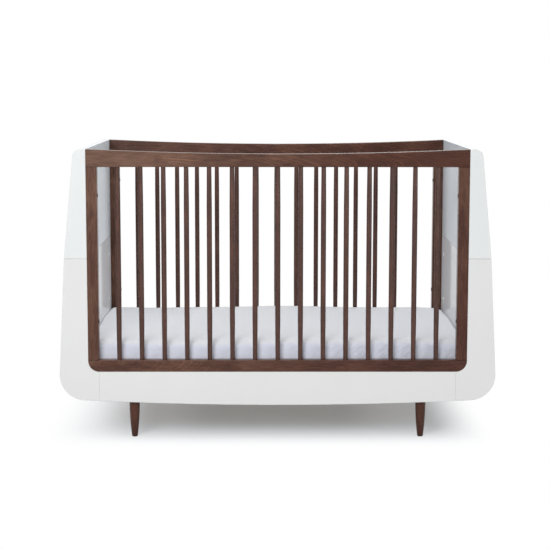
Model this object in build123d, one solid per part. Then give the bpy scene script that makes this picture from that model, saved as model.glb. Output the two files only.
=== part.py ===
from build123d import *
import os
from math import sqrt

# Baby cot: two hollow white shell ends, dark spindle sides, white lower rails on four turned
# legs, a slatted mattress base that hangs at one of three heights, and a mattress.
# Millimetres. The origin is on the floor under the middle of the cot, +X runs to the right
# end as seen from the front, -Y points to the front and +Z is up.

os.makedirs("parts", exist_ok=True)

# ---- mattress, which sets the size of everything round it ----
mattress_length = 1170.0
mattress_width = 680.0
mattress_thickness = 100.0
mattress_corner = 55.0
mattress_edge = 14.0
mattress_end_gap = 10.0
mattress_side_gap = 10.0

# ---- ends ----
height = 914.0
seam_height = 574.0
width_at_top = 38.5
width_at_seam = 71.2
width_at_belly = 94.5
top_radius = 25.0
corner_radius = 80.0
foot_reach = 34.0
inner_panel_thickness = 20.0
shell_thickness = 9.0
seam_batten_height = 30.0
lacquer_ease = 1.5
belly_low = 109.4
belly_radius = 12300.0

# ---- side frames and lower rails ----
frame_thickness = 30.0
lower_rail_top = 216.0
lower_rail_thickness = 22.0
bottom_rail_height = 37.0
top_rail_height = 55.0
top_rail_dip = 14.6
wood_ease = 2.0
spindle_count = 15
spindle_diameter = 16.4
spindle_neck = 14.5
spindle_taper = 120.0
tenon_diameter = 10.0
tenon_length = 12.0

# ---- legs ----
leg_inset = 140.5
leg_height = 126.0
leg_straight = 20.0
leg_radius = 16.5
leg_foot_radius = 9.4
leg_bulge = 1.35
glide_thickness = 3.0
glide_inset = 0.8
leg_rail_width = 38.0
leg_rail_height = 36.0

# ---- mattress base ----
base_gap = 6.0
base_rail_height = 40.0
base_side_gap = 5.0
side_rail_thickness = 20.0
end_rail_thickness = 30.0
beam_width = 20.0
slat_count = 12
slat_width = 60.0
slat_thickness = 10.0
slat_seat = 12.0
support_spread = 285.0
support_drop = 16.0
level_pitch = 160.0
level_count = 3
bracket_thickness = 3.0
bracket_width = 60.0
bracket_gap = 2.5
bracket_margin = 2.0
bracket_corner = 4.0
slide_clearance = 0.3
notch_margin = 3.0

# ---- fasteners ----
fit_gap = 0.05
screw_clearance = 0.2
dowel_radius = 4.0
dowel_length = 30.0
dowel_margin = 4.0
foot_dowel_drop = 16.0
post_dowel_offset = 7.0
seam_dowel_radius = 5.0
seam_dowel_length = 50.0
seam_dowel_margin = 90.0
bolt_radius = 3.0
lower_bolt_rise = 121.5
upper_bolt_drop = 89.0
insert_radius = 5.0
insert_length = 16.0
head_radius = 7.0
head_thickness = 3.0
side_head_radius = 6.0
side_head_thickness = 1.5
socket_radius = 2.5
socket_depth = 1.8
shoulder_radius = 4.0
support_head_radius = 8.0
support_head_thickness = 4.0
hanger_radius = 4.0
hanger_in_leg = 30.0
hanger_spare = 4.0
leg_insert_radius = 6.0
leg_insert_length = 20.0
wood_screw_radius = 2.0
wood_screw_head_radius = 4.2
wood_screw_head_length = 2.6
rail_screw_length = 50.0
rail_screw_margin = 50.0
bracket_screw_length = 16.0
bracket_screw_inset = 8.0
cap_radius = 7.0
cap_thickness = 1.5
cap_plug_length = 8.0

# ---- sizes that follow ----
half_inner = mattress_length / 2 + mattress_end_gap
half_depth = mattress_width / 2 + mattress_side_gap + frame_thickness
half_inside = half_depth - frame_thickness
frame_y = half_depth - frame_thickness / 2
lower_rail_y = half_depth - lower_rail_thickness / 2
foot_x = half_inner - foot_reach
post_x = half_inner - foot_reach / 2
bottom_rail_top = lower_rail_top + bottom_rail_height
post_top = height - top_rail_height
leg_rail_outer = half_depth - lower_rail_thickness
leg_rail_inner = leg_rail_outer - leg_rail_width
leg_x = half_inner - leg_inset
leg_y = (leg_rail_outer + leg_rail_inner) / 2
leg_rail_top = leg_height + leg_rail_height
leg_bolt_z = leg_height + leg_rail_height / 2
panel_outer = half_inner + inner_panel_thickness
base_low = leg_rail_top + base_gap
base_top = base_low + base_rail_height
slat_low = base_top - slat_thickness
support_z = base_top - support_drop
bracket_outer = half_inner - bracket_gap
bracket_inner = bracket_outer - bracket_thickness
end_rail_inner = bracket_inner - end_rail_thickness
base_half_width = half_inside - base_side_gap
side_rail_inner = base_half_width - side_rail_thickness
seam_dowel_x = (panel_outer + half_inner + width_at_seam - shell_thickness) / 2
seam_dowel_spread = half_inside - seam_dowel_margin
side_bolt_heights = (bottom_rail_top + lower_bolt_rise, post_top - upper_bolt_drop)
LEFT_RIGHT = {"left": -1, "right": 1}
FRONT_REAR = {"front": -1, "rear": 1}


# ---- helpers ----
def block(x, y, z):
    """Box between two values along each axis, given in either order."""
    size = [abs(b - a) for a, b in (x, y, z)]
    low = [min(pair) for pair in (x, y, z)]
    return Pos(*low) * Box(*size, align=(Align.MIN, Align.MIN, Align.MIN))


def rod(start, direction, radius, length):
    """Round bar from a start point along a direction."""
    seat = Plane(origin=start, z_dir=direction)
    return seat * Cylinder(radius, length, align=(Align.CENTER, Align.CENTER, Align.MIN))


def turned(start, direction, outline):
    """Solid of revolution: the outline's points are (radius, distance along the axis)."""
    face = Plane.XZ * make_face(Polyline(*outline, outline[0]))
    return Plane(origin=start, z_dir=direction) * revolve(face, Axis.Z)


def slab(face, y_low, y_high):
    """A face drawn in X and Z, swept from y_low to y_high."""
    return extrude(Plane.XZ.offset(-y_high) * face, amount=y_high - y_low)


def mirrored(shape, x_side, y_side=-1):
    """Copy of a right front piece on the side asked for."""
    if x_side < 0:
        shape = mirror(shape, about=Plane.YZ)
    if y_side > 0:
        shape = mirror(shape, about=Plane.XZ)
    return shape


def write(name, *solids):
    """Write one node; several solids make a group."""
    group = [s for shape in solids for s in shape.solids()]
    export_step(group[0] if len(group) == 1 else Compound(children=group), f"parts/{name}.step")
    print(name, len(group))


def corners(x, y):
    return [(i * x, j * y) for i in (-1, 1) for j in (-1, 1)]


# ---- outline of the right half, in X and Z ----
def belly(x):
    """Height of the long curved lower edge at x."""
    return belly_low + belly_radius - sqrt(belly_radius**2 - x**2)


def silhouette():
    low_x = half_inner + width_at_belly
    low = (low_x, belly(low_x))
    top = (half_inner + width_at_top, height)
    with BuildSketch() as outline:
        with BuildLine():
            ThreePointArc((0, belly(0)), (low_x / 2, belly(low_x / 2)), low)
            Polyline(low, (half_inner + width_at_seam, seam_height), top, (0, height), (0, belly(0)))
        make_face()
        fillet(outline.vertices().sort_by_distance(low)[0], corner_radius)
        fillet(outline.vertices().sort_by_distance(top)[0], top_radius)
    return outline.sketch


def window(x_low, x_high, z_low, z_high):
    """Rectangle in X and Z."""
    return Pos(x_low, z_low) * Rectangle(x_high - x_low, z_high - z_low, align=(Align.MIN, Align.MIN))


OUTLINE = silhouette()
INSIDE = offset(OUTLINE, -shell_thickness)
FAR = half_inner + 2 * width_at_belly


def bottom_rail_face(half_width):
    """Bottom rail of a side frame, with both lower corners rounded."""
    face = window(-half_width, half_width, lower_rail_top, bottom_rail_top)
    return fillet(face.vertices().group_by(Axis.Y)[0], foot_reach)


# ---- places of the fasteners, on the right front quarter ----
def side_bolt_seats():
    return [(half_inner, -frame_y, z) for z in side_bolt_heights]


def support_seats():
    levels = [support_z + i * level_pitch for i in range(level_count)]
    return [(half_inner, y, z) for z in levels for y in (-support_spread, support_spread)]


def foot_dowel_seats():
    low = leg_rail_top + dowel_radius + dowel_margin
    high = lower_rail_top - foot_dowel_drop
    return [(foot_x, -lower_rail_y, z) for z in (low, high)]


def post_dowel_seats():
    x_low, x_high = post_x - post_dowel_offset, post_x + post_dowel_offset
    return [(x, -frame_y, z) for x in (x_low, x_high) for z in (bottom_rail_top, post_top)]


def seam_dowel_seats():
    return [(seam_dowel_x, y, seam_height) for y in (-seam_dowel_spread, 0.0, seam_dowel_spread)]


def rail_screw_seats():
    span = foot_x - rail_screw_margin
    return [(x, -leg_rail_inner, leg_bolt_z) for x in (-span, -span / 2, 0.0, span / 2, span)]


LEG_BOLT = (post_x, -leg_rail_inner, leg_bolt_z)


def pinned(seat, direction, radius, length):
    """Hole for a pin that is centred on its seat."""
    start = [s - d * length / 2 for s, d in zip(seat, direction)]
    return rod(start, direction, radius, length)


# ---- ends, modelled on the right ----
def seam_edges(solid):
    """Edges across the thickness on the seam, which are eased to show it as a fine groove."""
    across = solid.edges().filter_by(Axis.Y)
    return [e for e in across if abs(e.center().Z - seam_height) < 0.01]


def front_edges(solid):
    return solid.edges().group_by(Axis.Y)[0]


def ease_board(board):
    """Round the edges of the front face, and those across the seam."""
    return fillet(front_edges(board) + seam_edges(board), lacquer_ease)


def upper_board():
    face = OUTLINE & window(half_inner, FAR, seam_height, height)
    board = ease_board(slab(face, -half_depth, -half_inside))
    for x, y, z in side_bolt_seats():
        if z > seam_height:
            board -= rod((x, y, z), (1, 0, 0), insert_radius + fit_gap, insert_length)
    return board


def lower_board():
    face = OUTLINE & window(foot_x, FAR, 0, seam_height)
    face -= window(foot_x, half_inner, bottom_rail_top, seam_height)
    face -= bottom_rail_face(half_inner)
    board = ease_board(slab(face, -half_depth, -half_inside))
    for x, y, z in side_bolt_seats():
        if z < seam_height:
            board -= rod((x, y, z), (1, 0, 0), insert_radius + fit_gap, insert_length)
    for seat in foot_dowel_seats():
        board -= pinned(seat, (1, 0, 0), dowel_radius + fit_gap, dowel_length)
    x, y, z = LEG_BOLT
    board -= rod((x, -half_inside, z), (0, -1, 0), insert_radius + fit_gap, insert_length)
    return board


def inner_panel(z_low, z_high):
    face = OUTLINE & window(half_inner, panel_outer, z_low, z_high)
    panel = slab(face, -half_inside, half_inside)
    panel = fillet([e for e in seam_edges(panel) if e.center().X < half_inner + 1], lacquer_ease)
    for x, y, z in support_seats():
        if z_low < z < z_high:
            panel -= rod((x, y, z), (1, 0, 0), insert_radius + fit_gap, insert_length)
    return panel


def outer_shell(z_low, z_high):
    face = (OUTLINE - INSIDE) & window(panel_outer, FAR, z_low, z_high)
    shell = slab(face, -half_inside, half_inside)
    edge = max(seam_edges(shell), key=lambda e: e.center().X)
    return fillet(edge, lacquer_ease)


def seam_batten(z_low, z_high):
    face = INSIDE & window(panel_outer, FAR, z_low, z_high)
    batten = slab(face, -half_inside, half_inside)
    for seat in seam_dowel_seats():
        batten -= pinned(seat, (0, 0, 1), seam_dowel_radius + fit_gap, seam_dowel_length)
    return batten


def write_ends():
    pieces = {
        "upper_inner_panel": inner_panel(seam_height, height),
        "upper_outer_shell": outer_shell(seam_height, height),
        "upper_seam_batten": seam_batten(seam_height, seam_height + seam_batten_height),
        "lower_inner_panel": inner_panel(0, seam_height),
        "lower_outer_shell": outer_shell(0, seam_height),
        "lower_seam_batten": seam_batten(seam_height - seam_batten_height, seam_height),
    }
    boards = {"upper": upper_board(), "lower": lower_board()}
    for side, sx in LEFT_RIGHT.items():
        for name, solid in pieces.items():
            write(f"{side}_end_{name}", mirrored(solid, sx))
        for section, board in boards.items():
            for face, sy in FRONT_REAR.items():
                write(f"{side}_end_{section}_{face}_board", mirrored(board, sx, sy))
    write("seam_dowels", *[
        pinned((sx * x, y, z), (0, 0, 1), seam_dowel_radius, seam_dowel_length)
        for sx in (-1, 1) for x, y, z in seam_dowel_seats()
    ])


# ---- lower rails and leg rails, modelled at the front ----
def lower_rail():
    half = OUTLINE & window(0, foot_x, 0, lower_rail_top)
    rail = slab(half + mirror(half, about=Plane.YZ), -half_depth, -half_depth + lower_rail_thickness)
    rail = fillet(front_edges(rail), lacquer_ease)
    for sx in (-1, 1):
        for x, y, z in foot_dowel_seats():
            rail -= pinned((sx * x, y, z), (1, 0, 0), dowel_radius + fit_gap, dowel_length)
    for x, y, z in rail_screw_seats():
        rail -= rod((x, y, z), (0, -1, 0), wood_screw_radius + fit_gap, rail_screw_length)
    return rail


def leg_rail():
    rail = block((-foot_x, foot_x), (-leg_rail_outer, -leg_rail_inner), (leg_height, leg_rail_top))
    heights = (leg_height, leg_rail_top)
    rail += block((-half_inner, half_inner), (-half_inside, -leg_rail_inner), heights)
    for sx in (-1, 1):
        x, y, z = LEG_BOLT
        rail -= rod((sx * x, y, z), (0, -1, 0), bolt_radius + screw_clearance, leg_rail_width)
        foot = (sx * leg_x, -leg_y, leg_height)
        rail -= rod(foot, (0, 0, 1), leg_insert_radius + fit_gap, leg_insert_length)
        rail -= rod(foot, (0, 0, 1), hanger_radius + screw_clearance, leg_insert_length + hanger_spare)
    for seat in rail_screw_seats():
        rail -= wood_screw(seat, (0, -1, 0), rail_screw_length, fit_gap)
    return rail


def wood_screw(seat, direction, length, gap=0.0):
    """Countersunk wood screw with its head flush at the seat; gap makes its hole."""
    shank = wood_screw_radius + gap
    head = wood_screw_head_radius + gap
    outline = [(0, 0), (head, 0), (shank, wood_screw_head_length), (shank, length), (0, length)]
    return turned(seat, direction, outline)


def socket_bolt(seat, direction, reach, radius=head_radius, thickness=head_thickness):
    """Low-head bolt with its head standing on the seat and its shank going the way given."""
    back = [-d for d in direction]
    head = rod(seat, back, radius, thickness)
    head = fillet(head.edges().sort_by(Axis(seat, back))[-1], thickness / 3)
    top = [s + b * thickness for s, b in zip(seat, back)]
    socket = Plane(origin=top, z_dir=direction) * extrude(RegularPolygon(socket_radius, 6), socket_depth)
    return head + rod(seat, direction, bolt_radius, reach) - socket


def insert(seat, direction):
    """Threaded insert, flush with the wood at its seat."""
    body = rod(seat, direction, insert_radius, insert_length)
    return body - rod(seat, direction, bolt_radius + fit_gap, insert_length)


def write_lower_rails():
    rail = lower_rail()
    batten = leg_rail()
    for face, sy in FRONT_REAR.items():
        write(f"{face}_lower_rail", mirrored(rail, 1, sy))
        write(f"{face}_leg_rail", mirrored(batten, 1, sy))
    x, y, z = LEG_BOLT
    reach = half_inside - leg_rail_inner + insert_length
    bolt = socket_bolt((x, y, z), (0, -1, 0), reach)
    write("leg_rail_bolts", *[mirrored(bolt, i, j) for i, j in corners(1, 1)])
    screws = [wood_screw(seat, (0, -1, 0), rail_screw_length) for seat in rail_screw_seats()]
    write("leg_rail_screws", *[mirrored(s, 1, j) for s in screws for j in (-1, 1)])


# ---- side frames, modelled at the front ----
def top_rail():
    with BuildSketch() as face:
        with BuildLine():
            ThreePointArc((-half_inner, height), (0, height - top_rail_dip), (half_inner, height))
            Polyline(
                (half_inner, height), (half_inner, post_top), (-half_inner, post_top),
                (-half_inner, height),
            )
        make_face()
    rail = slab(face.sketch, -half_depth, -half_inside)
    faces = rail.edges().group_by(Axis.Y)
    return fillet(faces[0] + faces[-1], wood_ease)


def bottom_rail():
    rail = slab(bottom_rail_face(half_inner), -half_depth, -half_inside)
    faces = rail.edges().group_by(Axis.Y)
    return fillet(faces[0] + faces[-1], wood_ease)


def drilled(rail, faces_up):
    """Frame rail with its holes for spindle tenons and post dowels."""
    z = bottom_rail_top if faces_up else post_top
    into = (0, 0, -1) if faces_up else (0, 0, 1)
    for x in spindle_places():
        rail -= rod((x, -frame_y, z), into, tenon_diameter / 2 + fit_gap, tenon_length)
    for sx in (-1, 1):
        for x, y, seat_z in post_dowel_seats():
            if seat_z == z:
                rail -= pinned((sx * x, y, z), (0, 0, 1), dowel_radius + fit_gap, dowel_length)
    return rail


def post():
    solid = block((foot_x, half_inner), (-half_depth, -half_inside), (bottom_rail_top, post_top))
    solid = fillet(solid.edges(), wood_ease)
    for seat in post_dowel_seats():
        solid -= pinned(seat, (0, 0, 1), dowel_radius + fit_gap, dowel_length)
    for x, y, z in side_bolt_seats():
        solid -= rod((x, y, z), (-1, 0, 0), bolt_radius + screw_clearance, foot_reach)
    return solid


def spindle_places():
    """Spindle centres, with equal gaps between spindles and posts."""
    gap = (2 * foot_x - spindle_count * spindle_diameter) / (spindle_count + 1)
    first = -foot_x + gap + spindle_diameter / 2
    return [first + i * (gap + spindle_diameter) for i in range(spindle_count)]


def spindle():
    """One spindle on the Z axis, from tenon to tenon."""
    neck = spindle_neck / 2
    body = spindle_diameter / 2
    tenon = tenon_diameter / 2
    low, high = bottom_rail_top, post_top
    outline = [
        (0, low - tenon_length), (tenon, low - tenon_length), (tenon, low), (neck, low),
        (body, low + spindle_taper), (body, high - spindle_taper), (neck, high),
        (tenon, high), (tenon, high + tenon_length), (0, high + tenon_length),
    ]
    return turned((0, 0, 0), (0, 0, 1), outline)


def write_sides():
    pieces = {"top_rail": drilled(top_rail(), False), "bottom_rail": drilled(bottom_rail(), True)}
    upright = post()
    stick = spindle()
    for face, sy in FRONT_REAR.items():
        for name, solid in pieces.items():
            write(f"{face}_{name}", mirrored(solid, 1, sy))
        for side, sx in LEFT_RIGHT.items():
            write(f"{face}_{side}_post", mirrored(upright, sx, sy))
        write(f"{face}_spindles", *[Pos(x, sy * frame_y, 0) * stick for x in spindle_places()])
    bolts = [
        socket_bolt(
            (foot_x, y, z), (1, 0, 0), foot_reach + insert_length,
            side_head_radius, side_head_thickness)
        for x, y, z in side_bolt_seats()
    ]
    write("side_bolts", *[mirrored(b, i, j) for b in bolts for i, j in corners(1, 1)])


# ---- legs ----
def leg():
    """Turned leg on the Z axis, cylindrical at the top and curving in to a small foot."""
    shoulder = leg_height - leg_straight
    middle = ((leg_radius + leg_foot_radius) / 2 + leg_bulge, (shoulder + glide_thickness) / 2)
    with BuildSketch() as face:
        with BuildLine():
            Polyline((0, glide_thickness), (leg_foot_radius, glide_thickness))
            ThreePointArc((leg_foot_radius, glide_thickness), middle, (leg_radius, shoulder))
            Polyline(
                (leg_radius, shoulder), (leg_radius, leg_height), (0, leg_height), (0, glide_thickness)
            )
        make_face()
    solid = revolve(Plane.XZ * face.sketch, Axis.Z)
    hole = rod((0, 0, leg_height), (0, 0, -1), hanger_radius + fit_gap, hanger_in_leg)
    return solid - hole


def leg_insert():
    seat = (0, 0, leg_height)
    body = rod(seat, (0, 0, 1), leg_insert_radius, leg_insert_length)
    return body - rod(seat, (0, 0, 1), hanger_radius + fit_gap, leg_insert_length)


def write_legs():
    solid = leg()
    glide = rod((0, 0, 0), (0, 0, 1), leg_foot_radius - glide_inset, glide_thickness)
    glide = fillet(glide.edges().sort_by(Axis.Z)[0], glide_thickness / 3)
    hanger = rod((0, 0, leg_height - hanger_in_leg), (0, 0, 1), hanger_radius,
                 hanger_in_leg + leg_insert_length + hanger_spare)
    for face, sy in FRONT_REAR.items():
        for side, sx in LEFT_RIGHT.items():
            write(f"{face}_{side}_leg", Pos(sx * leg_x, sy * leg_y, 0) * solid)
    places = [Pos(x, y, 0) for x, y in corners(leg_x, leg_y)]
    write("leg_glides", *[p * glide for p in places])
    write("leg_hanger_bolts", *[p * hanger for p in places])
    write("leg_inserts", *[p * leg_insert() for p in places])


# ---- dowels, inserts and caps that several joints share ----
def write_shared_fasteners():
    dowels = [pinned(seat, (1, 0, 0), dowel_radius, dowel_length) for seat in foot_dowel_seats()]
    dowels += [pinned(seat, (0, 0, 1), dowel_radius, dowel_length) for seat in post_dowel_seats()]
    write("wood_dowels", *[mirrored(d, i, j) for d in dowels for i, j in corners(1, 1)])
    x, y, z = LEG_BOLT
    inserts = [insert(seat, (1, 0, 0)) for seat in side_bolt_seats()]
    inserts.append(insert((x, -half_inside, z), (0, -1, 0)))
    inserts += [insert(seat, (1, 0, 0)) for seat in support_seats() if seat[1] < 0]
    write("threaded_inserts", *[mirrored(n, i, j) for n in inserts for i, j in corners(1, 1)])
    free = [seat for seat in support_seats() if seat[2] > support_z and seat[1] < 0]
    caps = [hole_cap(seat) for seat in free]
    write("hole_caps", *[mirrored(c, i, j) for c in caps for i, j in corners(1, 1)])
    x, y = half_inner, -support_spread
    write("support_bolts", *[mirrored(support_bolt((x, y, support_z)), i, j) for i, j in corners(1, 1)])


def hole_cap(seat):
    """Push-in cover for an insert that is not in use."""
    disc = rod(seat, (-1, 0, 0), cap_radius, cap_thickness)
    disc = fillet(disc.edges().sort_by(Axis.X)[0], cap_thickness * 0.6)
    return disc + rod(seat, (1, 0, 0), bolt_radius - fit_gap, cap_plug_length)


def support_bolt(seat):
    """Shoulder bolt that the mattress base hooks over."""
    x, y, z = seat
    neck = x - bracket_inner + slide_clearance
    bolt = rod(seat, (1, 0, 0), bolt_radius, insert_length)
    bolt += rod(seat, (-1, 0, 0), shoulder_radius, neck)
    seat = (x - neck, y, z)
    return bolt + socket_bolt(seat, (1, 0, 0), neck, support_head_radius, support_head_thickness)


# ---- mattress base ----
def bracket_z():
    return base_low + bracket_margin, base_top - bracket_margin


def bracket_screw_seats():
    """Screw seats of the right front bracket, two on each side of its slot."""
    z_low, z_high = bracket_z()
    spread = bracket_width / 2 - bracket_screw_inset
    rows = (z_low + bracket_screw_inset, z_high - bracket_screw_inset)
    return [(bracket_outer, -support_spread + dy, z) for dy in (-spread, spread) for z in rows]


def hook_bracket():
    """Steel plate with a slot that is open downwards and rounded over the support bolt."""
    low, high = bracket_z()
    y = -support_spread
    half = bracket_width / 2
    plate = block((bracket_inner, bracket_outer), (y - half, y + half), (low, high))
    plate = fillet(plate.edges().filter_by(Axis.X), bracket_corner)
    slot = shoulder_radius + slide_clearance
    plate -= rod((bracket_inner, y, support_z), (1, 0, 0), slot, bracket_thickness)
    plate -= block((bracket_inner, bracket_outer), (y - slot, y + slot), (low, support_z))
    for seat in bracket_screw_seats():
        plate -= wood_screw(seat, (-1, 0, 0), bracket_screw_length, fit_gap)
    return plate


def end_rail():
    span_y = (-base_half_width, base_half_width)
    rail = block((end_rail_inner, bracket_inner), span_y, (base_low, base_top))
    notch = support_head_radius + notch_margin
    depth = support_head_thickness + slide_clearance + notch_margin
    for sy in (-1, 1):
        y = sy * support_spread
        rail -= rod((bracket_inner, y, support_z), (-1, 0, 0), notch, depth)
        notch_y = (y - notch, y + notch)
        rail -= block((bracket_inner - depth, bracket_inner), notch_y, (base_low, support_z))
        for x, screw_y, z in bracket_screw_seats():
            hole = wood_screw((x, screw_y, z), (-1, 0, 0), bracket_screw_length, fit_gap)
            rail -= mirrored(hole, 1, sy)
    for x, y, z in base_dowel_seats():
        rail -= pinned((x, y, z), (1, 0, 0), dowel_radius + fit_gap, dowel_length)
    return rail


def base_dowel_seats():
    """Dowels between the right end rail, the side rails and the beam."""
    y = base_half_width - side_rail_thickness / 2
    low = base_low + dowel_radius + dowel_margin
    high = slat_low - dowel_radius - dowel_margin
    return [(end_rail_inner, place, z) for place in (-y, 0.0, y) for z in (low, high)]


def side_rail():
    """Front rail of the base, with a step along its inner top edge that the slats lie in."""
    span = (-end_rail_inner, end_rail_inner)
    rail = block(span, (-base_half_width, -side_rail_inner), (base_low, base_top))
    step = -side_rail_inner - slat_seat
    rail -= block(span, (step, -side_rail_inner), (slat_low, base_top))
    return doweled(rail)


def centre_beam():
    half = beam_width / 2
    return doweled(block((-end_rail_inner, end_rail_inner), (-half, half), (base_low, slat_low)))


def doweled(rail):
    for sx in (-1, 1):
        for x, y, z in base_dowel_seats():
            rail -= pinned((sx * x, y, z), (1, 0, 0), dowel_radius + fit_gap, dowel_length)
    return rail


def slats():
    """Evenly spaced slats across the base."""
    half_y = side_rail_inner + slat_seat
    gap = (2 * end_rail_inner - slat_count * slat_width) / (slat_count + 1)
    solids = []
    for i in range(slat_count):
        x = -end_rail_inner + gap + i * (gap + slat_width)
        slat = block((x, x + slat_width), (-half_y, half_y), (slat_low, base_top))
        solids.append(fillet(slat.edges().filter_by(Axis.Y), lacquer_ease))
    return solids


def write_base():
    ender = end_rail()
    for side, sx in LEFT_RIGHT.items():
        write(f"base_{side}_end_rail", mirrored(ender, sx))
    rail = side_rail()
    for face, sy in FRONT_REAR.items():
        write(f"base_{face}_rail", mirrored(rail, 1, sy))
    write("base_centre_beam", centre_beam())
    write("base_slats", *slats())
    write("base_dowels", *[
        pinned((sx * x, y, z), (1, 0, 0), dowel_radius, dowel_length)
        for sx in (-1, 1) for x, y, z in base_dowel_seats()
    ])
    plate = hook_bracket()
    write("hook_brackets", *[mirrored(plate, i, j) for i, j in corners(1, 1)])
    screws = [wood_screw(seat, (-1, 0, 0), bracket_screw_length) for seat in bracket_screw_seats()]
    write("bracket_screws", *[mirrored(s, i, j) for s in screws for i, j in corners(1, 1)])


# ---- mattress ----
def mattress():
    half_x, half_y = mattress_length / 2, mattress_width / 2
    pad = block((-half_x, half_x), (-half_y, half_y), (base_top, base_top + mattress_thickness))
    pad = fillet(pad.edges().filter_by(Axis.Z), mattress_corner)
    rims = pad.edges().group_by(Axis.Z)
    return fillet(rims[0] + rims[-1], mattress_edge)


write_ends()
write_lower_rails()
write_sides()
write_legs()
write_shared_fasteners()
write_base()
write("mattress", mattress())
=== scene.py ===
"""Baby cot: finishes for the frame, the mattress in its fitted cover, and a pale studio."""

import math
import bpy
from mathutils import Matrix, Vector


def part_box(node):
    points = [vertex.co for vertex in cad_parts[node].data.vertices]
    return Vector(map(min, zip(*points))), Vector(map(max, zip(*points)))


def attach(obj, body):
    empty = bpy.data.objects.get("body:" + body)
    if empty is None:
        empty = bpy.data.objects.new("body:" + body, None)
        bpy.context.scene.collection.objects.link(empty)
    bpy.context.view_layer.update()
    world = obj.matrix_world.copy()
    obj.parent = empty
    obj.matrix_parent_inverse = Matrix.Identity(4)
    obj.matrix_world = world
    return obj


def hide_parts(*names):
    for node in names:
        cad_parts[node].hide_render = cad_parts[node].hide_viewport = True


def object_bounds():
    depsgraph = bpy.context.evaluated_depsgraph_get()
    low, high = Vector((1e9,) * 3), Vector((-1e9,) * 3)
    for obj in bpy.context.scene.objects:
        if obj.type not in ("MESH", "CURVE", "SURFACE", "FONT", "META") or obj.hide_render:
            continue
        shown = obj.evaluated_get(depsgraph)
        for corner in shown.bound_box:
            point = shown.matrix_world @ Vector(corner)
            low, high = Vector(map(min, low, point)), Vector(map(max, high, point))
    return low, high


bl_info = {
    "name": "Baby Cot",
    "version": (1, 0, 0),
    "blender": (4, 5, 0),
    "location": "View3D > Sidebar > Cot",
    "description": "Finishes a spindle-sided baby cot and makes its mattress",
    "category": "Object",
}

import bpy
import numpy as np
from mathutils import Matrix, Vector

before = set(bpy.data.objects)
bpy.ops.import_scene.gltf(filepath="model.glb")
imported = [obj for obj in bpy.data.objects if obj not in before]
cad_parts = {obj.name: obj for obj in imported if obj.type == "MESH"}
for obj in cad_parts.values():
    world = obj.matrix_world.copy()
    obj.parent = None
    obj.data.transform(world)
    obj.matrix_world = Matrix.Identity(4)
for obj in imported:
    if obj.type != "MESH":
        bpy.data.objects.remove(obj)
CAD_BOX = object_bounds()
MATTRESS_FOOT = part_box("mattress")[0][2]
HALF_INSIDE = (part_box("right_end_lower_inner_panel")[0][0], -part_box("front_bottom_rail")[1][1])
FLOOR_Z = CAD_BOX[0][2]
# The darkened joint lines, painted shade with gathered stain, cross the posts' faces only, from the
# posts' inner edges outwards
POST_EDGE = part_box("front_right_post")[0][0]
JOINT_REACH = (POST_EDGE - 0.0005, POST_EDGE + 0.0005)

SIDES = ("left", "right")
FACES = ("front", "rear")
SECTIONS = ("upper", "lower")


# ---- shader expressions ----
class Value:
    """A shader socket in a Python expression: each operator adds a Math node."""

    def __init__(self, shader, socket):
        self.shader = shader
        self.socket = socket

    def math(self, operation, *values):
        return self.shader.node("ShaderNodeMath", {"operation": operation}, dict(enumerate(values)))

    def __add__(self, other):
        return self.math("ADD", self, other)

    def __sub__(self, other):
        return self.math("SUBTRACT", self, other)

    def __rsub__(self, other):
        return self.math("SUBTRACT", other, self)

    def __mul__(self, other):
        return self.math("MULTIPLY", self, other)

    def __truediv__(self, other):
        return self.math("DIVIDE", self, other)

    def __pow__(self, other):
        return self.math("POWER", self, other)

    def __abs__(self):
        return self.math("ABSOLUTE", self)

    def sine(self):
        return self.math("SINE", self)

    def fract(self):
        return self.math("FRACT", self)

    def most(self, other):
        return self.math("MAXIMUM", self, other)

    def smooth(self, low, high):
        """0 below low, 1 above high, with a soft step between them."""
        limits = {"Value": self, "From Min": low, "From Max": high}
        return self.shader.node("ShaderNodeMapRange", {"interpolation_type": "SMOOTHSTEP"}, limits)

    __radd__ = __add__
    __rmul__ = __mul__


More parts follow.
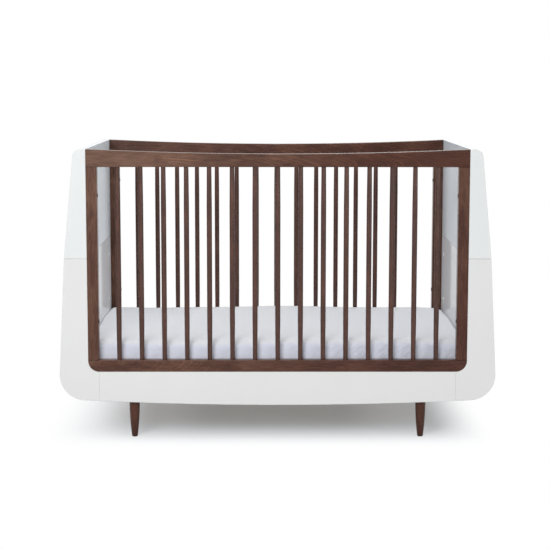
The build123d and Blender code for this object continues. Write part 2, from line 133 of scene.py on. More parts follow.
class Shader:
    """The nodes of a material, or of the world, built up from calls."""

    def __init__(self, name, world=None):
        self.material = world or bpy.data.materials.new(name)
        self.material.use_nodes = True
        self.tree = self.material.node_tree
        self.tree.nodes.clear()
        kind = "ShaderNodeOutputWorld" if world else "ShaderNodeOutputMaterial"
        self.output = self.tree.nodes.new(kind)

    def node(self, kind, settings=None, inputs=None, output=0):
        """Adds a node: its settings first, then the values or links of its sockets."""
        node = self.tree.nodes.new(kind)
        for name, value in (settings or {}).items():
            if name == "stops":
                self.set_stops(node.color_ramp, value)
            else:
                setattr(node, name, value)
        for name, value in (inputs or {}).items():
            if isinstance(value, Value):
                self.tree.links.new(value.socket, node.inputs[name])
            else:
                node.inputs[name].default_value = value
        return Value(self, node.outputs[output])

    @staticmethod
    def set_stops(ramp, stops):
        while len(ramp.elements) < len(stops):
            ramp.elements.new(1.0)
        for element, (place, colour) in zip(ramp.elements, stops):
            element.position = place
            element.color = (*colour, 1.0)

    def place(self, scale=(1, 1, 1), offset=(0, 0, 0), turn=(0, 0, 0)):
        """The piece's own coordinates, scaled, moved and turned."""
        own = self.node("ShaderNodeTexCoord", output="Object")
        return self.node("ShaderNodeMapping", None, {
            "Vector": own, "Location": offset, "Rotation": turn, "Scale": scale,
        })

    def axis(self, place, name):
        return self.node("ShaderNodeSeparateXYZ", None, {"Vector": place}, name)

    def noise(self, place, scale, detail=3.0, roughness=0.5, distortion=0.0):
        return self.node("ShaderNodeTexNoise", None, {
            "Vector": place, "Scale": scale, "Detail": detail, "Roughness": roughness,
            "Distortion": distortion,
        })

    def ramp(self, value, *stops):
        return self.node("ShaderNodeValToRGB", {"stops": stops}, {"Fac": value})

    def mix(self, factor, first, second, blend="MIX"):
        """Mixes two colours; plain colours are tuples of three."""
        first, second = [c if isinstance(c, Value) else (*c, 1.0) for c in (first, second)]
        settings = {"data_type": "RGBA", "blend_type": blend}
        return self.node("ShaderNodeMix", settings, {0: factor, 6: first, 7: second}, 2)

    def bump(self, height, distance, strength=1.0):
        return self.node("ShaderNodeBump", None, {
            "Height": height, "Distance": distance, "Strength": strength,
        })

    def seen(self):
        """1 for rays straight from the camera, and for those mirrored or let through by a piece."""
        rays = [self.node("ShaderNodeLightPath", output=f"Is {kind} Ray")
                for kind in ("Camera", "Glossy", "Transmission")]
        return rays[0].most(rays[1]).most(rays[2])

    def surface(self, value):
        self.tree.links.new(value.socket, self.output.inputs["Surface"])
        return self.material

    def principled(self, **inputs):
        """Principled surface; names have _ for a space, and plain colours are tuples of three."""
        named = {}
        for name, value in inputs.items():
            title = name.replace("_", " ").title().replace("Ior", "IOR")
            named[title] = (*value, 1.0) if isinstance(value, tuple) else value
        return self.surface(self.node("ShaderNodeBsdfPrincipled", None, named))


# ---- settings that a user would change ----
def colour(name, description, default):
    return bpy.props.FloatVectorProperty(
        name=name, description=description, default=default, subtype="COLOR", min=0.0, max=1.0)


def length(name, description, default):
    return bpy.props.FloatProperty(
        name=name, description=description, default=default, unit="LENGTH", precision=4)


def number(name, description, default):
    return bpy.props.FloatProperty(name=name, description=description, default=default)


def factor(name, description, default):
    return bpy.props.FloatProperty(
        name=name, description=description, default=default, subtype="FACTOR", min=0.0, max=1.0)


def power(name, description, default):
    return bpy.props.FloatProperty(
        name=name, description=description, default=default, unit="POWER", min=0.0)


def angle(name, description, default):
    return bpy.props.FloatProperty(
        name=name, description=description, default=default, subtype="ANGLE")


class CotFinish(bpy.types.PropertyGroup):
    # One white lacquer throughout: the upper ends are painted a little lighter and bluer, and the
    # lower ends and rails a little darker and warmer, as painted light and shade
    upper_lacquer_painted_light: colour(
        "Upper lacquer", "Satin white lacquer of the upper ends", (0.81, 0.83, 0.82))
    lower_lacquer_painted_shade: colour(
        "Lower lacquer", "Satin white lacquer of the lower ends and rails", (0.79, 0.79, 0.775))
    # The inner panels are the same white lacquer, tinted for how light falls inside the cot: the
    # upper ones bluer as painted reflection, the lower ones lighter as painted light
    inner_upper_painted_light: colour(
        "Inner panels, upper", "White lacquer of the upper inner panels", (0.83, 0.885, 0.93))
    inner_lower_painted_light: colour(
        "Inner panels, lower", "White lacquer of the lower inner panels", (0.895, 0.905, 0.925))
    # painted shade: the right inner panels are painted darker than the left ones
    right_painted_shade: factor(
        "Right inner panels, shade", "Tone of the right inner panels against the left ones", 0.85)
    lacquer_roughness: factor("Lacquer roughness", "Roughness of the white lacquer", 0.22)
    inner_roughness: factor("Inner roughness", "Roughness of the inner panels' lacquer", 0.34)
    inner_polish: factor(
        "Inner polish", "Strength of the clear coat on the lower inner panels", 0.5)
    stain_deep: colour(
        "Stain, deep", "Palest grain where the stain took deeply", (0.098, 0.033, 0.019))
    stain_pale: colour(
        "Stain, pale", "Palest grain where the stain took lightly", (0.235, 0.125, 0.082))
    ring_deep: colour(
        "Rings, deep", "Growth lines where the stain took deeply", (0.150, 0.050, 0.025))
    ring_pale: colour(
        "Rings, pale", "Growth lines where the stain took lightly", (0.400, 0.200, 0.115))
    pore_and_joint_shade: colour("Pores", "Open pores and joint lines of the stained frames", (0.014, 0.006, 0.004))
    stain_roughness: factor("Stain roughness", "Roughness of the stained and lacquered wood", 0.27)
    pine_light: colour("Pine, light", "Sapwood of the base and the leg rails", (0.70, 0.52, 0.33))
    pine_dark: colour(
        "Pine, dark", "Latewood lines of the base and the leg rails", (0.48, 0.29, 0.14))
    steel: colour("Steel", "Zinc-plated steel", (0.62, 0.62, 0.61))
    black_steel: colour(
        "Black steel", "Blackened bolts of the side frames", (0.060, 0.042, 0.034))
    brass: colour("Brass", "Brass of the threaded inserts", (0.72, 0.55, 0.28))
    white_plastic: colour("White plastic", "Caps over the free holes", (0.84, 0.84, 0.83))
    dark_plastic: colour("Dark plastic", "Glides under the legs", (0.018, 0.016, 0.015))


class CotMattress(bpy.types.PropertyGroup):
    top: colour("Top fabric", "Fabric of the top and the underside", (0.83, 0.85, 0.885))
    border: colour("Border fabric", "Fabric of the four sides", (0.85, 0.885, 1.0))
    end_gap: length("End gap", "Space left between the cover and the ends", 0.0004)
    side_gap: length("Side gap", "Space left between the cover and the side rails", 0.002)
    front_edge: length("Front edge", "Height of the top edge at the front above the slats", 0.0905)
    rear_edge: length("Rear edge", "Height of the top edge at the rear above the slats", 0.1035)
    end_edge: length("End edges", "Height of the top edges at the two ends above the slats", 0.1000)
    crown: length("Crown", "Height of the middle of the top above the slats", 0.1065)
    edge_radius: length("Edge radius", "Radius of the top edges at the front and rear", 0.014)
    corner_left: length("Left corners", "Radius of the left corners seen from above", 0.032)
    corner_right: length("Right corner", "Radius of the rear right corner seen from above", 0.075)
    cell: length("Cell", "Size of the cells that the cover is simulated with", 0.0092)
    swell: length("Swell", "How far the filling may push the cover up", 0.002)
    draw_in: length("Draw-in", "How far the swelling top may draw the sides in", 0.004)
    thread: length("Thread", "Spacing of the knit's ribs", 0.0016)


class CotStage(bpy.types.PropertyGroup):
    camera_place: bpy.props.FloatVectorProperty(
        name="Camera place", description="Where the camera stands", subtype="TRANSLATION",
        default=(-0.0338, -5.1066, 1.1337))
    camera_yaw: angle("Camera yaw", "Turn of the camera towards the right", math.radians(0.303))
    camera_pitch: angle("Camera pitch", "Tilt of the camera below level", math.radians(7.363))
    camera_roll: angle("Camera roll", "Turn of the camera about its view", math.radians(0.0485))
    lens: number("Lens", "Focal length in millimetres on a 36 mm sensor", 100.0)
    floor: colour("Floor", "Pale floor, as it lights the cot", (0.84, 0.86, 0.89))
    floor_seen: colour("Floor, seen", "Pale floor, as it is seen", (0.80, 0.90, 1.0))
    world: number("World", "Strength of the light from all round", 0.40)
    key: power("Key light", "Power of the soft light in front", 47.0)
    left: power("Left light", "Power of the soft light at the left", 38.0)
    right: power("Right light", "Power of the soft light at the right", 17.5)
    top: power("Top light", "Power of the soft light above", 35.0)
    back: power("Back light", "Power of the soft light behind", 34.0)


# ---- helpers ----
def settings(name):
    return getattr(bpy.context.scene, name)


def dress(nodes, material):
    """Gives CAD nodes a material in place of their plain one."""
    for name in nodes:
        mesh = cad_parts[name].data
        mesh.materials.clear()
        mesh.materials.append(material)


def deselect():
    if bpy.context.object and bpy.context.object.mode != "OBJECT":
        bpy.ops.object.mode_set(mode="OBJECT")
    bpy.ops.object.select_all(action="DESELECT")


def apply_modifiers(piece):
    bpy.context.view_layer.objects.active = piece
    for modifier in list(piece.modifiers):
        bpy.ops.object.modifier_apply(modifier=modifier.name)


def points_of(piece):
    flat = np.empty(len(piece.data.vertices) * 3)
    piece.data.vertices.foreach_get("co", flat)
    return flat.reshape(-1, 3)


def set_points(piece, points):
    piece.data.vertices.foreach_set("co", points.ravel())
    piece.data.update()


# ---- finishes ----
def lacquer_material(name, tint, roughness, seam, polish=0.0):
    """Sprayed satin lacquer on board: a faint orange peel and slightly uneven gloss.

    seam is the height of a joint along which a soft darker line of painted shade is drawn, and
    polish how strong a clear mirroring coat lies over a matt ground, or 0 for plain satin.
    """
    shader = Shader(name)
    place = shader.place()
    peel = shader.noise(place, 420.0, 2.0)
    cloud = shader.noise(place, 3.0, 3.0)
    tone = shader.mix(cloud.smooth(0.3, 0.7), tuple(0.985 * c for c in tint), tuple(tint))
    # painted shade: a soft grey line along the seam, standing in for the shade in the joint's
    # groove
    line = 1 - abs(shader.axis(place, "Z") - seam).smooth(0.001, 0.0042)
    seam_painted_shade = (0.30, 0.29, 0.28)
    return shader.principled(
        base_color=shader.mix(line * 0.13, tone, seam_painted_shade),
        roughness=roughness + (cloud - 0.5) * 0.06,
        specular_ior_level=0.0 if polish else 0.5,
        coat_weight=polish,
        coat_roughness=0.08,
        normal=shader.bump(peel, 0.00001),
    )


def stretched(shader, grain, along, across, seed):
    """Coordinates squeezed across the grain, so that noise runs along it."""
    scale = [across] * 3
    scale["XYZ".index(grain)] = along
    return shader.place(scale=scale, offset=(seed * 3.71, seed * 1.93, seed * 2.57))


def growth_rings(shader, node, grain, cut, seed):
    """Rings of a log whose pith runs behind the piece: 0 to 1 across each ring.

    cut holds the pith's offset across the face, its depth behind the middle of the face, its
    lean across and its lean in depth for each metre along the grain, and the ring spacing.
    """
    offset, depth, lean, dive, spacing = cut
    low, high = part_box(node)
    middle = [(a + b) / 2 for a, b in zip(low, high)]
    place = shader.place(offset=[-m for m in middle])
    face, inside = {"X": "ZY", "Y": "XZ", "Z": "XY"}[grain]
    along = shader.axis(place, grain)
    sway = shader.noise(stretched(shader, grain, 1.6, 1.2, seed), 1.0, 1.0, 0.5)
    curl = shader.noise(stretched(shader, grain, 9.0, 18.0, seed + 3), 1.0, 2.0, 0.5)
    most_sway, most_curl = 0.02, 0.006
    across = shader.axis(place, face) + along * -lean - offset + (sway - 0.5) * most_sway
    inward = shader.axis(place, inside) + along * dive + depth + (curl - 0.5) * most_curl
    rings = (across * across + inward * inward) ** 0.5 / spacing
    years = shader.node("ShaderNodeTexNoise", {"noise_dimensions": "1D"}, {
        "W": rings * 0.45 + seed, "Scale": 1.0, "Detail": 1.0,
    })
    return rings + (years - 0.5) * 1.8


def stain_material(
        node, finish, grain, cut, took, seed, figure=(0.2, 0, 1), gloss=0.25, joint=None):
    """Dark stain on plain-sawn hardwood: growth lines, red-brown clouds, pores and soft gloss.

    took says how pale the stain is at the low and the high end of the grain, from 0 to 1: partly
    how lightly the stain took, partly painted light that makes the better lit end paler, and figure
    how strongly the growth lines show, and between which two shares of the length.
    joint is the height of a joint whose line is darkened: stain gathered in it, and painted shade
    of its narrow gap.
    """
    shader = Shader(f"stain_{node}")
    low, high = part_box(node)
    axis = "XYZ".index(grain)
    run = shader.axis(shader.place(), grain)
    along = run.smooth(low[axis], high[axis])
    strength, first, last = figure
    begin, end = [low[axis] + part * (high[axis] - low[axis]) for part in (first, last)]
    fade = 0.06
    shows = run.smooth(begin - fade, begin + fade)
    shows = shows * (1 - run.smooth(end - fade, end + fade))
    rings = growth_rings(shader, node, grain, cut, seed)
    streaks = shader.noise(stretched(shader, grain, 22.0, 150.0, seed), 1.0, 4.0, 0.6, 0.2)
    fibres = shader.noise(stretched(shader, grain, 14.0, 420.0, seed + 5), 1.0, 3.0, 0.6)
    clouds = shader.noise(stretched(shader, grain, 9.0, 26.0, seed + 9), 1.0, 3.0, 0.55, 0.5)
    pores = shader.noise(stretched(shader, grain, 45.0, 1100.0, seed + 2), 1.0, 2.0, 0.5)
    pore_mask = 1 - pores.smooth(0.30, 0.42)
    late = (1 - abs(rings.fract() - 0.5) * 2).smooth(0.62, 1.0)
    late = late * clouds.smooth(0.30, 0.58) * shows
    tone = streaks * 0.35 + fibres * 0.25 + clouds * 0.4
    # paleness of the stain: random clouds, plus the took gradient along the grain, which is partly
    # painted light
    light = (clouds - 0.5) * 0.5 + took[0] + along * (took[1] - took[0])
    stain = shader.mix(light, tuple(finish.stain_deep), tuple(finish.stain_pale))
    ring = shader.mix(light, tuple(finish.ring_deep), tuple(finish.ring_pale))
    grey = shader.ramp(
        tone, (0.34, (0.42, 0.36, 0.34)), (0.50, (0.70, 0.67, 0.66)), (0.66, (1, 1, 1)))
    base = shader.mix(late * strength, shader.mix(1.0, stain, grey, "MULTIPLY"), ring)
    base = shader.mix(pore_mask * 0.35, base, tuple(finish.pore_and_joint_shade))
    if joint:
        # painted shade, with gathered stain: a dark line along the joint between rail and post
        x, z = [shader.axis(shader.place(), name) for name in "XZ"]
        line = (1 - abs(z - joint).smooth(0.0006, 0.0018)) * abs(x).smooth(*JOINT_REACH)
        base = shader.mix(line * 0.85, base, tuple(finish.pore_and_joint_shade))
    return shader.principled(
        base_color=base,
        roughness=finish.stain_roughness + (streaks - 0.5) * 0.12 + pore_mask * 0.1,
        specular_ior_level=gloss,
        normal=shader.bump(fibres * 0.6 + late * 0.4 - pore_mask * 0.5, 0.00008),
    )


def pine_material(node, finish, grain, cut, seed):
    """Planed pine: arched rings with dark latewood lines along the grain, unfinished."""
    shader = Shader(f"pine_{node}")
    rings = growth_rings(shader, node, grain, cut, seed)
    fibres = shader.noise(stretched(shader, grain, 8.0, 300.0, seed + 4), 1.0, 3.0)
    late = rings.fract().smooth(0.35, 0.95)
    base = shader.mix(late * 0.55, tuple(finish.pine_light), tuple(finish.pine_dark))
    base = shader.mix(fibres.smooth(0.4, 0.8) * 0.3, base, tuple(finish.pine_dark))
    return shader.principled(
        base_color=base,
        roughness=0.62 - late * 0.12,
        normal=shader.bump(fibres + late * 0.4, 0.0001),
    )


def metal_material(name, tint, roughness, scale):
    """Plated metal with fine handling marks."""
    shader = Shader(name)
    marks = shader.noise(shader.place(scale=(scale, scale, scale * 4)), 1.0, 4.0, 0.65)
    tone = shader.mix(marks.smooth(0.35, 0.75), tuple(tint), tuple(0.82 * c for c in tint))
    return shader.principled(
        base_color=tone,
        metallic=1.0,
        roughness=roughness + (marks - 0.5) * 0.2,
        normal=shader.bump(marks, 0.00003),
    )


def plastic_material(name, tint, roughness):
    shader = Shader(name)
    grain = shader.noise(shader.place(), 900.0, 2.0)
    return shader.principled(
        base_color=shader.mix(grain * 0.2, tuple(tint), tuple(0.8 * c for c in tint)),
        roughness=roughness + (grain - 0.5) * 0.1,
        normal=shader.bump(grain, 0.00004),
    )


def fabric_material(look):
    """Knitted cover: ribs and a soft mottle, cooler and drawn in fine creases at the sides, with
    painted shade in the creases and towards the right end, and painted light low down the sides.
    """
    shader = Shader("mattress_cover")
    place = shader.place()
    x, y, z = [shader.axis(place, name) for name in "XYZ"]
    turns = 2 * math.pi / look.thread
    ribs = (x * turns).sine() * ((y + z) * turns).sine()
    fuzz = shader.noise(place, 2400.0, 2.0)
    mottle = shader.noise(place, 60.0, 4.0, 0.6)
    slanted = shader.node("ShaderNodeMapping", {"vector_type": "TEXTURE"}, {
        "Vector": place, "Rotation": (0, 0.96, 0), "Scale": (0.010, 0.010, 0.036),
    })
    creases = shader.noise(slanted, 1.0, 3.0, 0.6)
    drawn = x.smooth(-0.1, 0.5) * 0.9 + 0.35
    inset = shader.node("ShaderNodeAttribute", {"attribute_name": "inset"}, output="Fac")
    on_top = inset.smooth(-0.004, 0.005)
    folds_and_painted_shade = (1 - on_top) * drawn * creases.smooth(0.36, 0.66)
    # painted light: the sides keep their full tone low down and are painted darker further up
    upward = z.smooth(MATTRESS_FOOT + 0.035, MATTRESS_FOOT + 0.09)
    deep = shader.mix(upward, (1, 1, 1), (0.93, 0.93, 0.93))
    border = shader.mix(1.0, tuple(look.border), deep, "MULTIPLY")
    tone = shader.mix(on_top, border, tuple(look.top))
    # painted shade darkens the creases down the sides; the same folds also bump the surface
    tone = shader.mix(folds_and_painted_shade * 0.07, tone, (0.36, 0.38, 0.48))
    tone = shader.mix(mottle.smooth(0.3, 0.8) * 0.05, tone, (0.55, 0.57, 0.66))
    # painted shade: the cover grows darker towards its right end
    tone = shader.mix(x.smooth(-0.1, 0.6) * 0.16, tone, (0.52, 0.54, 0.60))
    height = ribs * 0.1 + fuzz * 0.1 + folds_and_painted_shade * 1.4
    return shader.principled(
        base_color=shader.mix((ribs * 0.5 + 0.5) * 0.04, tone, (0.5, 0.51, 0.58)),
        roughness=0.88 + (fuzz - 0.5) * 0.1,
        sheen_weight=0.2,
        sheen_roughness=0.5,
        normal=shader.bump(height, 0.0010),
    )


# ---- operators, one for each group of pieces ----
class COT_OT_white_parts(bpy.types.Operator):
    """Sprays the ends and the lower rails with white lacquer"""

    bl_idname = "cot.white_parts"
    bl_label = "White ends and lower rails"

    def execute(self, context):
        finish = settings("cot_finish")
        outer = ("front_board", "rear_board", "outer_shell")
        upper = [f"{side}_end_upper_{piece}" for side in SIDES for piece in outer]
        lower = [f"{side}_end_lower_{piece}" for side in SIDES for piece in outer]
        coats = {
            "upper_lacquer_painted_light": (upper, finish.upper_lacquer_painted_light, finish.lacquer_roughness, 0.0),
            "lower_lacquer_painted_shade": (lower + [f"{face}_lower_rail" for face in FACES],
                              finish.lower_lacquer_painted_shade, finish.lacquer_roughness, 0.0),
        }
        # the inner tints carry painted light and reflection, and the right side also the painted
        # shade
        for side, shade in zip(SIDES, (1.0, finish.right_painted_shade)):
            inner_upper_painted_light = tuple(shade * c for c in finish.inner_upper_painted_light)
            inner_lower_painted_light = tuple(shade * c for c in finish.inner_lower_painted_light)
            coats[f"{side}_inner_upper_lacquer"] = (
                [f"{side}_end_upper_inner_panel"], inner_upper_painted_light, finish.inner_roughness, 0.0)
            coats[f"{side}_inner_lower_lacquer"] = (
                [f"{side}_end_lower_inner_panel"], inner_lower_painted_light, finish.inner_roughness,
                finish.inner_polish)
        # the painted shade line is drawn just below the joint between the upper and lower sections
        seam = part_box("left_end_lower_front_board")[1][2] - 0.001
        for name, (parts, tint, roughness, polish) in coats.items():
            dress(parts, lacquer_material(name, tint, roughness, seam, polish))
        return {"FINISHED"}


class COT_OT_side_frames(bpy.types.Operator):
    """Stains the rails, posts and spindles, each with its own run of grain"""

    bl_idname = "cot.side_frames"
    bl_label = "Side frames"

    # For each piece: the way its grain runs, how it is cut from its log, as growth_rings has it,
    # how strongly its growth lines show and over which share of its length, and how the stain
    # took on it at the front and at the rear, as stain_material has it: partly the wood's real
    # take of the stain, partly painted light that makes the better lit ends paler
    CUTS = {
        "top_rail": (
            "X", (-0.029, 0.081, 0.014, 0.095, 0.0032), (0.60, 0.16, 0.88),
            ((0.76, -0.18), (0.18, 0.12))),
        "bottom_rail": (
            "X", (0.025, 0.226, 0.0, 0.168, 0.0034), (0.45, -0.1, 0.38),
            ((0.38, 0.04), (0.40, 0.10))),
        "left_post": (
            "Z", (0.012, 0.070, 0.01, 0.050, 0.0030), (0.12, 0, 1),
            ((0.34, 0.50), (0.45, 0.60))),
        "right_post": (
            "Z", (-0.016, 0.080, -0.01, 0.060, 0.0030), (0.10, 0, 1),
            ((0.02, 0.30), (0.20, 0.30))),
        "spindles": (
            "Z", (0.300, 0.100, 0.02, 0.050, 0.0034), (0.15, 0, 1),
            ((-0.05, 0.02), (-0.02, 0.06))),
    }
    GLOSS = 0.25
    SPINDLE_GLOSS = 0.45

    def execute(self, context):
        finish = settings("cot_finish")
        joints = {
            "top_rail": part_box("front_left_post")[1][2],
            "bottom_rail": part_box("front_left_post")[0][2],
        }
        for i, face in enumerate(FACES):
            for j, (piece, (grain, cut, figure, took)) in enumerate(self.CUTS.items()):
                name = f"{face}_{piece}"
                gloss = self.SPINDLE_GLOSS if piece == "spindles" else self.GLOSS
                seed = 1.0 + 7 * i + j
                stain = stain_material(
                    name, finish, grain, cut, took[i], seed, figure, gloss, joints.get(piece))
                dress([name], stain)
        return {"FINISHED"}


class COT_OT_legs(bpy.types.Operator):
    """Stains the legs and puts dark glides under them"""

    bl_idname = "cot.legs"
    bl_label = "Legs"

    CUT = (0.010, 0.060, 0.05, 0.080, 0.0030)
    TOOK = (-0.1, -0.1)

    def execute(self, context):
        finish = settings("cot_finish")
        for i, face in enumerate(FACES):
            for j, side in enumerate(SIDES):
                name = f"{face}_{side}_leg"
                seed = 20.0 + 2 * i + j
                dress([name], stain_material(name, finish, "Z", self.CUT, self.TOOK, seed))
        dress(["leg_glides"], plastic_material("dark_plastic", finish.dark_plastic, 0.55))
        return {"FINISHED"}


class COT_OT_mattress_base(bpy.types.Operator):
    """Gives the slatted base, the leg rails and the battens their planed pine"""

    bl_idname = "cot.mattress_base"
    bl_label = "Mattress base and inner timber"

    CUT = (0.008, 0.060, 0.01, 0.030, 0.0040)

    def execute(self, context):
        finish = settings("cot_finish")
        along_x = ["base_front_rail", "base_rear_rail", "base_centre_beam"]
        along_x += [f"{face}_leg_rail" for face in FACES]
        along_x += ["seam_dowels", "wood_dowels", "base_dowels"]
        along_y = ["base_left_end_rail", "base_right_end_rail", "base_slats"]
        along_y += [f"{side}_end_{section}_seam_batten" for side in SIDES for section in SECTIONS]
        for grain, names in (("X", along_x), ("Y", along_y)):
            for i, name in enumerate(names):
                dress([name], pine_material(name, finish, grain, self.CUT, 1.0 + i))
        return {"FINISHED"}


class COT_OT_fasteners(bpy.types.Operator):
    """Gives bolts, screws, brackets, inserts and caps their metal and plastic"""

    bl_idname = "cot.fasteners"
    bl_label = "Fasteners"

    def execute(self, context):
        finish = settings("cot_finish")
        steel = metal_material("zinc_steel", finish.steel, 0.36, 300.0)
        dress(["side_bolts"], metal_material("black_steel", finish.black_steel, 0.45, 300.0))
        dress(["leg_rail_bolts", "leg_rail_screws", "leg_hanger_bolts", "support_bolts",
               "bracket_screws", "hook_brackets"], steel)
        brass = metal_material("insert_brass", finish.brass, 0.32, 300.0)
        dress(["threaded_inserts", "leg_inserts"], brass)
        dress(["hole_caps"], plastic_material("white_plastic", finish.white_plastic, 0.3))
        return {"FINISHED"}


def smooth_step(values, low, high):
    """0 below low, 1 above high, with a soft step between them."""
    t = np.clip((values - low) / (high - low), 0.0, 1.0)
    return t * t * (3 - 2 * t)


def hump(values, middle, width):
    return np.exp(-(((values - middle) / width) ** 2))


class COT_OT_mattress(bpy.types.Operator):
    """Makes the mattress: a fitted cover blown out by its filling and then settled"""

    bl_idname = "cot.mattress"
    bl_label = "Mattress"

    PRESSURE = 4.0
    FRAMES = 20

    def execute(self, context):
        look = settings("cot_mattress")
        half = np.array(HALF_INSIDE) - (look.end_gap, look.side_gap) + look.draw_in
        low, high = MATTRESS_FOOT, MATTRESS_FOOT + look.front_edge
        pad = self.slab(look, half, low, high)
        flat = points_of(pad).copy()
        self.round_corners(pad, look, half)
        start = points_of(pad).copy()
        self.fill(context, pad)
        inset = self.settle(pad, flat, start, look, half, (low, high))
        attribute = pad.data.attributes.new("inset", "FLOAT", "POINT")
        attribute.data.foreach_set("value", inset)
        bpy.ops.object.modifier_add(type="SUBSURF")
        pad.modifiers[-1].levels = pad.modifiers[-1].render_levels = 1
        apply_modifiers(pad)
        bpy.ops.object.shade_smooth()
        pad.data.materials.append(fabric_material(look))
        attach(pad, "mattress")
        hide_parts("mattress")
        return {"FINISHED"}

    @staticmethod
    def slab(look, half, low, high):
        """A grid of even cells at the bottom, raised in steps to a closed slab."""
        deselect()
        columns, rows = [round(2 * h / look.cell) for h in half]
        layers = round((high - low) / look.cell)
        bpy.ops.mesh.primitive_grid_add(
            size=1, x_subdivisions=columns, y_subdivisions=rows, location=(0, 0, low))
        pad = bpy.context.object
        pad.name = pad.data.name = "mattress_pad"
        pad.scale = (2 * half[0], 2 * half[1], 1)
        bpy.ops.object.transform_apply(location=True, scale=True)
        bpy.ops.object.mode_set(mode="EDIT")
        bpy.ops.mesh.select_all(action="SELECT")
        for _ in range(layers):
            move = {"value": (0, 0, (high - low) / layers)}
            bpy.ops.mesh.extrude_region_move(TRANSFORM_OT_translate=move)
        bpy.ops.mesh.select_all(action="SELECT")
        bpy.ops.mesh.normals_make_consistent(inside=False)
        bpy.ops.object.mode_set(mode="OBJECT")
        return pad

    @staticmethod
    def corner_radius(look, x, y):
        """Radius of the corner nearest to each point: the rear right one is the slackest."""
        return np.where((x > 0) & (y > 0), look.corner_right, look.corner_left)

    @classmethod
    def round_corners(cls, pad, look, half):
        """Draws the square corners in to arcs."""
        points = points_of(pad)
        radius = cls.corner_radius(look, points[:, 0], points[:, 1])
        centre = half - radius[:, None]
        over = np.abs(points[:, :2]) - centre
        inside = over.min(axis=1) > 0
        square = over[inside].max(axis=1)
        over[inside] *= (square / np.linalg.norm(over[inside], axis=1))[:, None]
        points[inside, :2] = np.sign(points[inside, :2]) * (centre + over)[inside]
        set_points(pad, points)

    @classmethod
    def fill(cls, context, pad):
        """Inflates the cover with cloth simulation and keeps the shape it reaches."""
        bpy.context.view_layer.objects.active = pad
        bpy.ops.object.modifier_add(type="CLOTH")
        cloth = pad.modifiers[-1]
        cloth.settings.use_pressure = True
        cloth.settings.uniform_pressure_force = cls.PRESSURE
        cloth.settings.effector_weights.gravity = 0.0
        cloth.settings.quality = 5
        cloth.point_cache.frame_start = 1
        cloth.point_cache.frame_end = cls.FRAMES
        for frame_number in range(1, cls.FRAMES + 1):
            context.scene.frame_set(frame_number)
        bpy.ops.object.modifier_apply(modifier=cloth.name)

    @classmethod
    def settle(cls, pad, flat, start, look, half, heights):
        """Caps how far the filling has pushed the cover, then shapes it from given numbers.

        The top gets its crown and low waves, the top edge rises and falls with them, its
        corner is rounded, and the sides lean in towards the top.
        Returns how far each point is in from the top edge, less than 0 down the sides.
        """
        low, high = heights
        moves = points_of(pad) - start
        caps = np.array([look.draw_in, look.draw_in, look.swell])
        points = start + caps * np.tanh(moves / caps)
        x, y = start[:, 0], start[:, 1]
        inset = np.min(half - np.abs(flat[:, :2]), axis=1)
        level = (start[:, 2] - low) / (high - low)
        side = (inset < look.cell / 4) & (level < 0.999)
        at_end = smooth_step(np.abs(x), 0.49, 0.57) * smooth_step(y, -0.34, -0.24)

        # the top edge: low waves along the front, a slack middle at the rear, humps at the ends
        edge = look.front_edge + 0.0045 * smooth_step(-x, 0.30, 0.50)
        edge += 0.0050 * smooth_step(x, -0.18, 0.0)
        edge += 0.0026 * hump(x, 0.41, 0.10) - 0.0018 * smooth_step(x, 0.50, 0.58)
        rear = look.rear_edge + 0.0054 * hump(x, 0.02, 0.18) - 0.0028 * hump(x, -0.43, 0.07)
        edge += (rear - edge) * smooth_step(y, -0.20, 0.30)
        end_edge = look.end_edge + np.where(
            x < 0, 0.0075 * hump(y, 0.10, 0.10), 0.0075 * hump(y, 0.08, 0.07) - 0.0045)
        edge += (end_edge - edge) * at_end
        # the top: a crown with low waves, which the edge gives way to within a few centimetres
        middle = (
            look.crown + 0.0022 * hump(x, 0.05, 0.15)
            + 0.0010 * np.sin(9.1 * x + 3.0 * y + 0.6)
            + 0.0008 * np.sin(15.7 * x - 6.3 * y + 2.1)
            + 0.0006 * np.sin(5.0 * x + 13.0 * y + 4.0)
        )
        reach = 0.030 - 0.018 * at_end
        top = edge + (middle - edge) * (1 - np.exp(-inset / reach))
        points[:, 2] += level * (top + low - high)

        # the corner between the sides and the top, an arc in place of two flats
        path = np.where(side, -(1 - level) * edge, inset)
        radius = look.edge_radius * (1 - 0.85 * at_end)
        share = np.clip((path + radius) / (2 * radius), 0, 1) * (level > 0.01)
        turn = share * math.pi / 2
        drawn_in = radius * (1 - np.cos(turn)) - np.clip(path, 0, None)
        lowered = radius * (1 - np.sin(turn)) + np.clip(path, None, 0)
        near = (np.abs(path) < radius) & (share > 0)
        lean = 0.0020 * smooth_step(level, 0.30, 0.85) * np.exp(-inset / 0.025) * (1 - at_end)
        out = cls.outward(look, half, flat)
        points[:, :2] -= out * (np.where(near, drawn_in, 0) + lean)[:, None]
        points[:, 2] -= np.where(near, lowered, 0)

        # broad drag marks down the sides, and the cover pressed against the two ends
        drag = np.sin(110 * x + 150 * start[:, 2]) + 0.7 * np.sin(67 * x - 120 * start[:, 2] + 1.0)
        points[:, :2] -= out * (side * (0.5 + 0.5 * drag / 1.7) * 0.0006 * (1 - at_end))[:, None]
        pinch = (np.abs(inset - look.cell) < look.cell / 2) * at_end * 0.0055
        points[:, :2] += out * pinch[:, None]
        points[:, 2] = np.maximum(points[:, 2], low)
        limit = half - look.draw_in
        points[:, :2] = np.clip(points[:, :2], -limit, limit)
        set_points(pad, points)
        return path

    @classmethod
    def outward(cls, look, half, flat):
        """The level direction from each point to the nearest side, fanned out at the corners."""
        radius = cls.corner_radius(look, flat[:, 0], flat[:, 1])[:, None]
        over = np.abs(flat[:, :2]) - (half - radius)
        nearest = over[:, :1] > over[:, 1:]
        square = np.concatenate([nearest, ~nearest], axis=1).astype(float)
        out = np.where(over.min(axis=1)[:, None] > 0, over, square) * np.sign(flat[:, :2])
        return out / np.maximum(np.linalg.norm(out, axis=1), 1e-9)[:, None]


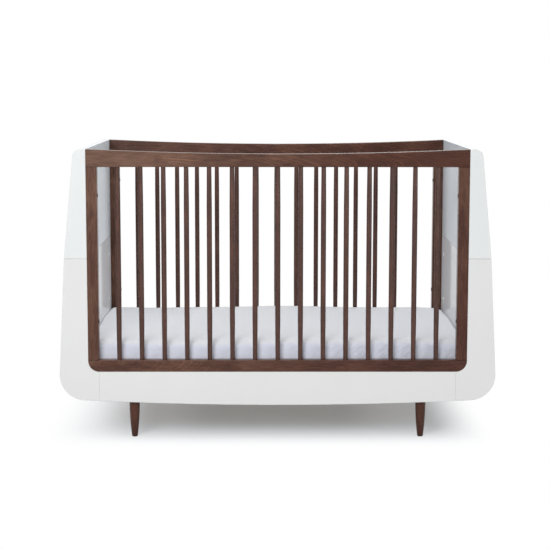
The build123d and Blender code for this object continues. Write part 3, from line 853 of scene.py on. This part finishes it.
class COT_OT_stage(bpy.types.Operator):
    """Sets up the pale floor, the soft lights and the camera"""

    bl_idname = "cot.stage"
    bl_label = "Studio"

    def execute(self, context):
        stage = settings("cot_stage")
        self.floor(stage)
        self.lights(context, stage)
        self.camera(context, stage)
        context.scene.view_settings.view_transform = "Standard"
        return {"FINISHED"}

    @staticmethod
    def floor(stage):
        """A wide pale floor that keeps the cot's shadow and fades to white further out."""
        deselect()
        bpy.ops.mesh.primitive_plane_add(size=60, location=(0, 0, FLOOR_Z))
        floor = bpy.context.object
        floor.name = floor.data.name = "floor"
        shader = Shader("floor")
        place = shader.place()
        x, y = [shader.axis(place, name) for name in "XY"]
        # how much of the real floor shows: most of it under the cot, and none further out
        under = (1 - (-1 * x).smooth(0.40, 0.76)) * (1 - x.smooth(0.485, 0.695))
        thin = 1 - abs(x).smooth(0.20, 0.40) * 0.08
        bare = under * thin * (1 - abs(y + 0.02).smooth(0.16, 0.49)) * 0.84
        seen = shader.seen()
        pale = shader.node("ShaderNodeBsdfDiffuse", None, {"Color": (*stage.floor, 1.0)})
        bright = shader.node("ShaderNodeBsdfDiffuse", None, {"Color": (*stage.floor_seen, 1.0)})
        white = shader.node("ShaderNodeEmission", None, {"Color": (1, 1, 1, 1), "Strength": 1.0})
        lit = shader.node("ShaderNodeMixShader", None, {0: seen, 1: pale, 2: bright})
        far = seen * (1 - bare)
        shader.surface(shader.node("ShaderNodeMixShader", None, {0: far, 1: lit, 2: white}))
        floor.data.materials.append(shader.material)

    @staticmethod
    def lights(context, stage):
        world = bpy.data.worlds.new("studio")
        context.scene.world = world
        shader = Shader("studio", world)
        seen = shader.seen()
        strength = seen + (1 - seen) * stage.world
        shader.surface(shader.node("ShaderNodeBackground", None, {
            "Color": (1, 1, 1, 1), "Strength": strength,
        }))
        lamps = {
            "key_light": ((-1.1, -4.4, 1.9), (0, 0, 0.5), (1.2, 1.2), stage.key),
            "left_light": ((-2.0, -4.0, 2.3), (0, 0, 0.5), (1.0, 1.0), stage.left),
            "right_light": ((3.4, -2.9, 1.2), (0, 0, 0.5), (0.8, 1.6), stage.right),
            "top_light": ((0, 0, 3.6), (0, 0, 0), (1.3, 1.3), stage.top),
            "back_light": ((0.6, 3.8, 3.2), (0, 0, 0.5), (1.5, 1.5), stage.back),
        }
        for name, (place, target, size, watts) in lamps.items():
            deselect()
            bpy.ops.object.light_add(type="AREA", location=place)
            lamp = bpy.context.object
            lamp.name = lamp.data.name = name
            lamp.data.shape = "RECTANGLE"
            lamp.data.size, lamp.data.size_y = size
            lamp.data.energy = watts
            away = Vector(place) - Vector(target)
            lamp.rotation_euler = away.to_track_quat("Z", "Y").to_euler()

    @staticmethod
    def camera(context, stage):
        bpy.ops.object.camera_add(location=stage.camera_place)
        camera = bpy.context.object
        camera.name = camera.data.name = "camera"
        turn = Matrix.Rotation(-stage.camera_yaw, 3, "Z")
        turn = turn @ Matrix.Rotation(math.pi / 2 - stage.camera_pitch, 3, "X")
        turn = turn @ Matrix.Rotation(stage.camera_roll, 3, "Z")
        camera.rotation_euler = turn.to_euler()
        camera.data.lens = stage.lens
        camera.data.sensor_width = 36.0
        context.scene.camera = camera


class COT_PT_panel(bpy.types.Panel):
    """Lists the steps that finish the cot"""

    bl_idname = "COT_PT_panel"
    bl_label = "Baby Cot"
    bl_space_type = "VIEW_3D"
    bl_region_type = "UI"
    bl_category = "Cot"

    def draw(self, context):
        for step in STEPS:
            self.layout.operator(step.bl_idname)
        for group in GROUPS:
            box = self.layout.box()
            for name in GROUPS[group].__annotations__:
                box.prop(getattr(context.scene, group), name)


STEPS = (
    COT_OT_stage, COT_OT_white_parts, COT_OT_side_frames, COT_OT_legs, COT_OT_mattress_base,
    COT_OT_fasteners, COT_OT_mattress,
)
GROUPS = {"cot_finish": CotFinish, "cot_mattress": CotMattress, "cot_stage": CotStage}


def register():
    for kind in (*GROUPS.values(), *STEPS, COT_PT_panel):
        bpy.utils.register_class(kind)
    for name, group in GROUPS.items():
        setattr(bpy.types.Scene, name, bpy.props.PointerProperty(type=group))


def unregister():
    for name in GROUPS:
        delattr(bpy.types.Scene, name)
    for kind in reversed((*GROUPS.values(), *STEPS, COT_PT_panel)):
        bpy.utils.unregister_class(kind)


def main():
    register()
    for step in STEPS:
        getattr(bpy.ops.cot, step.bl_idname.split(".")[1])()


if __name__ == "__main__":
    main()
